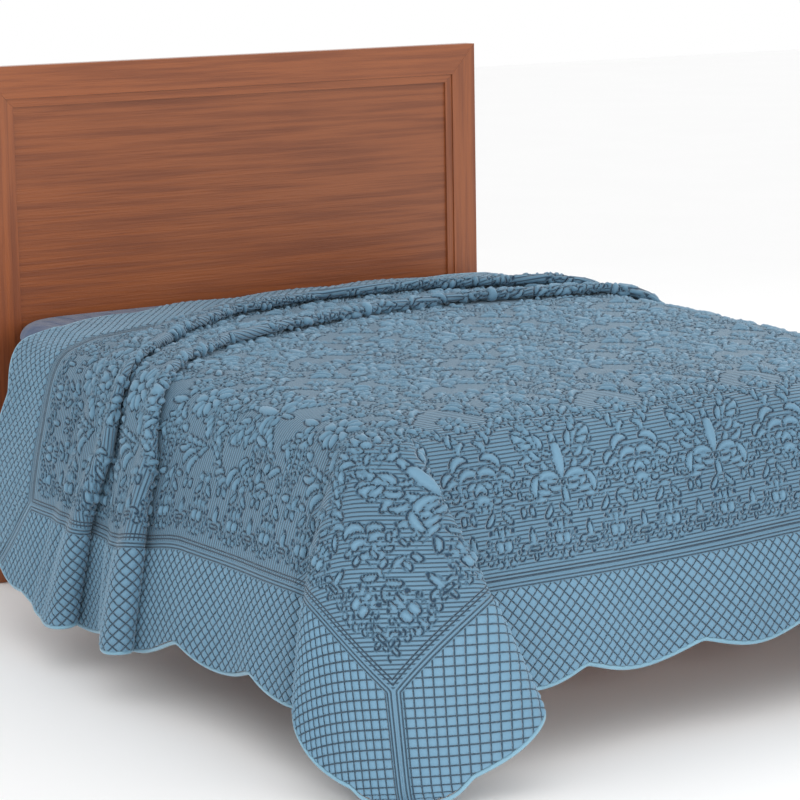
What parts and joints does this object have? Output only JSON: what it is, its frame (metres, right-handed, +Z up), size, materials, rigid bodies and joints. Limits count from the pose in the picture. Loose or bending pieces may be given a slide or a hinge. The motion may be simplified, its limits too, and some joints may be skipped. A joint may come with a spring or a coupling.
{
  "type": "quilted bedspread on bed",
  "caption": "Quilted bedspread with a scalloped diamond border, folded in pleats over a plain queen bed with a panel headboard.",
  "frame": {"origin": "middle of the footprint on the floor", "axes": "+X across the bed, +Y from foot to headboard, +Z up"},
  "size_m": [2.192, 2.3992, 1.391],
  "materials": {
    "quilted_cloth": "soft quilted cotton with a slight sheen",
    "binding": "plain bias binding",
    "sheet": "smooth dark fitted cover",
    "wood": "satin cherry stain"
  },
  "bodies": {
    "root": {"centre_panel": "quilted_cloth", "border_left": "quilted_cloth", "border_right": "quilted_cloth", "border_foot": "quilted_cloth", "border_head": "quilted_cloth", "edge_binding": "binding", "mattress": "sheet", "side_rail_left": "wood", "side_rail_right": "wood", "foot_leg_left": "wood", "foot_leg_right": "wood", "foot_rail": "wood", "bed_platform": "wood", "head_post_left": "wood", "head_post_right": "wood", "head_top_band": "wood", "head_panel": "wood", "head_lower_rail": "wood", "panel_bead_top": "wood", "panel_bead_left": "wood", "panel_bead_right": "wood"}
  },
  "joints": []
}
